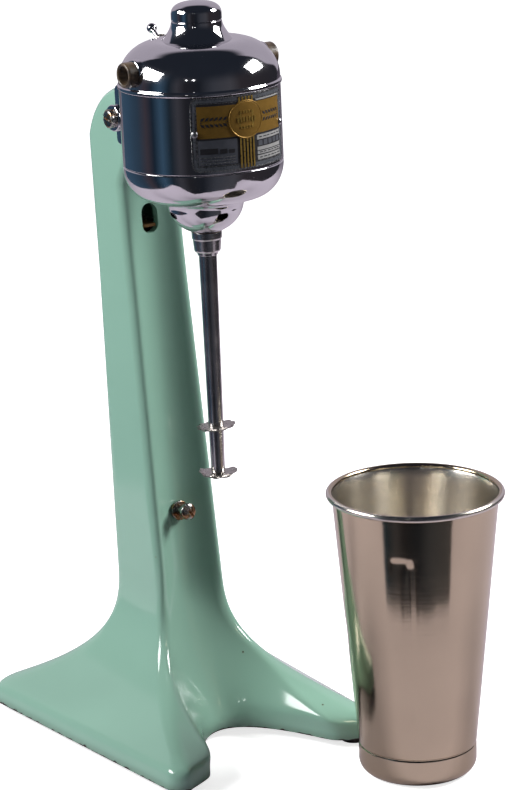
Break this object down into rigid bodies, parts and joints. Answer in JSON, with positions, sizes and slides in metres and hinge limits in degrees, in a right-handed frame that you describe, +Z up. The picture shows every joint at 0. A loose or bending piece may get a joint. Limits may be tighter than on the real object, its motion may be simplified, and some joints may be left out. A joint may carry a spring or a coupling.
{
  "type": "milkshake mixer",
  "caption": "Counter-top milkshake mixer: chromed motor head on an enamelled cast stand, a long spindle with agitator discs, and a separate steel mixing cup.",
  "frame": {"origin": "on the counter surface, under the stand's column and 5.75 mm behind the middle of its base", "axes": "+Z up, -Y the front, where the spindle and the notch between the feet are, +X to the right as seen when looking along +Y from the front"},
  "size_m": [0.2145, 0.3108, 0.4689],
  "materials": {
    "jade_enamel": "glossy jade green porcelain enamel on cast iron",
    "black_plate": "black painted sheet steel",
    "black_rubber": "moulded black rubber",
    "plain_steel": "plain machined steel",
    "worn_brass": "brass with most of its plating worn off and tarnished",
    "aged_brass": "dull aged brass",
    "brown_bakelite": "brown bakelite",
    "black_bakelite": "black bakelite",
    "bright_chrome": "bright chromium plate, lightly worn",
    "plate_metal": "printed metal plate in gold, silver and black",
    "lamination_steel": "stacked laminations",
    "copper_wire": "varnished copper winding",
    "copper_bar": "bare copper segments",
    "carbon": "pressed carbon",
    "felt": "oiled felt",
    "worn_nickel": "worn nickel plate",
    "spindle_steel": "polished steel, slightly dark",
    "cup_steel": "stainless steel, polished outside and brushed inside"
  },
  "bodies": {
    "stand": {"stand_casting": "jade_enamel", "base_plate": "black_plate", "rubber_feet": "black_rubber", "foot_screws": "plain_steel", "cord_grommet": "black_rubber", "cup_rest_washer": "worn_brass", "cup_rest_screw": "worn_brass", "lever_bracket": "plain_steel", "bracket_screws": "plain_steel", "lever_pin": "plain_steel", "lever_spring": "plain_steel", "switch_block": "brown_bakelite", "mounting_fork": "bright_chrome", "fork_screws": "plain_steel", "bolt_collar": "bright_chrome", "cross_bolt": "worn_brass", "cross_nut": "plain_steel", "upper_cap": "bright_chrome", "motor_body": "bright_chrome", "lower_casing": "bright_chrome", "nameplate": "plate_metal", "nameplate_pins": "plain_steel", "stator_core": "lamination_steel", "field_coils": "copper_wire", "stator_bolts": "plain_steel", "brush_holders": "black_bakelite", "brushes": "carbon", "brush_springs": "aged_brass", "brush_cap_rings": "bright_chrome", "brush_caps": "brown_bakelite", "bearing_plate": "plain_steel", "upper_bearing": "aged_brass", "oil_felt": "felt", "lower_bearing": "aged_brass", "toggle_body": "black_bakelite", "toggle_bushing": "worn_nickel", "toggle_nut": "worn_nickel"},
    "rotor": {"motor_shaft": "plain_steel", "armature_core": "lamination_steel", "armature_windings": "copper_wire", "commutator": "copper_bar", "cooling_fan": "plain_steel", "spindle_collar": "spindle_steel", "spindle": "spindle_steel", "upper_disc": "worn_nickel", "lower_disc": "worn_nickel", "spindle_rivet": "plain_steel"},
    "toggle": {"toggle_lever": "bright_chrome"},
    "cup_lever": {"cup_lever": "aged_brass"},
    "switch_plunger": {"switch_plunger": "black_bakelite"},
    "cup": {"mixing_cup": "cup_steel"}
  },
  "joints": [
    {"name": "spindle_spin", "type": "hinge", "parent": "stand", "child": "rotor", "pos_m": [0, -0.038, 0.392], "axis": [0, 0.0366, 0.9993], "continuous": true},
    {"name": "toggle_flip", "type": "hinge", "parent": "stand", "child": "toggle", "pos_m": [0, 0.00473, 0.43765], "axis": [1, 0, 0], "range_deg": [0, 18]},
    {"name": "cup_lever_press", "type": "hinge", "parent": "stand", "child": "cup_lever", "pos_m": [0, 0.036, 0.296], "axis": [-1, 0, 0], "range_deg": [0, 7], "stiffness_Nm_per_rad": 0.1},
    {"name": "plunger_press", "type": "slide", "parent": "stand", "child": "switch_plunger", "axis": [0, 1, 0], "range_m": [0, 0.0022]},
    {"name": "cup_lift", "type": "slide", "parent": "stand", "child": "cup", "axis": [0, 0, 1], "range_m": [0, 0.3]}
  ],
  "couplings": [
    {"joint": "plunger_press", "follows": "cup_lever_press", "m_per_rad": 0.018}
  ]
}
